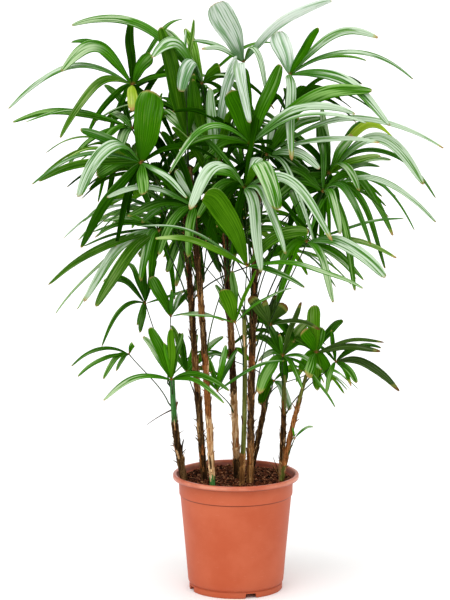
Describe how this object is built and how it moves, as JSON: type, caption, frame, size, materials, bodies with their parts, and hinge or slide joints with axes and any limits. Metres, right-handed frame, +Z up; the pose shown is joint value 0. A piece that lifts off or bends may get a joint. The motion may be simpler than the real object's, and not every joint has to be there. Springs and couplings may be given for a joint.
{
  "type": "potted lady palm",
  "caption": "Clump of slender fibre-clad canes carrying fan-shaped fronds of long pleated fingers, planted in a round tapered pot with a rolled lip.",
  "frame": {"origin": "centre of the pot's flat underside", "axes": "+Z up along the canes, -Y towards the front of the plant, +X to its right"},
  "size_m": [0.9835, 0.6384, 1.3605],
  "materials": {
    "pot": "moulded terracotta-coloured plastic, satin, lightly scuffed",
    "soil": "dark fibrous peat compost, dull and crumbly",
    "cane": "brown woven leaf-sheath fibre over green ringed cane",
    "frond": "pleated green blade, satin on top and paler beneath, with dry tan tips"
  },
  "bodies": {
    "root": {"pot": "pot", "soil": "soil", "cane_1": "cane", "cane_2": "cane", "cane_3": "cane", "cane_4": "cane", "cane_5": "cane", "cane_6": "cane", "cane_7": "cane", "cane_8": "cane", "cane_9": "cane", "frond_back_low": "frond", "frond_behind_01": "frond", "frond_behind_02": "frond", "frond_behind_03": "frond", "frond_behind_04": "frond", "frond_behind_05": "frond", "frond_behind_06": "frond", "frond_behind_07": "frond", "frond_behind_08": "frond", "frond_behind_09": "frond", "frond_behind_10": "frond", "frond_behind_11": "frond", "frond_behind_12": "frond", "frond_behind_13": "frond", "frond_behind_14": "frond", "frond_behind_15": "frond", "frond_behind_16": "frond", "frond_behind_17": "frond", "frond_crown_left": "frond", "frond_crown_right": "frond", "frond_crown_top": "frond", "frond_front_bright": "frond", "frond_front_drooping": "frond", "frond_left_broad": "frond", "frond_left_dark": "frond", "frond_left_low": "frond", "frond_left_pale": "frond", "frond_left_thin": "frond", "frond_low_front": "frond", "frond_low_inner": "frond", "frond_low_left": "frond", "frond_low_outer": "frond", "frond_low_right": "frond", "frond_low_upright": "frond", "frond_middle_dark": "frond", "frond_right_arching": "frond", "frond_right_comb": "frond", "frond_right_dark": "frond", "frond_right_low": "frond", "frond_small_brown": "frond", "frond_small_inner": "frond", "frond_small_middle": "frond", "frond_spear": "frond", "frond_stub_left": "frond", "frond_stub_right": "frond", "frond_tall_left": "frond", "frond_tiny": "frond", "frond_upper_left": "frond", "frond_upright_middle": "frond"}
  },
  "joints": []
}
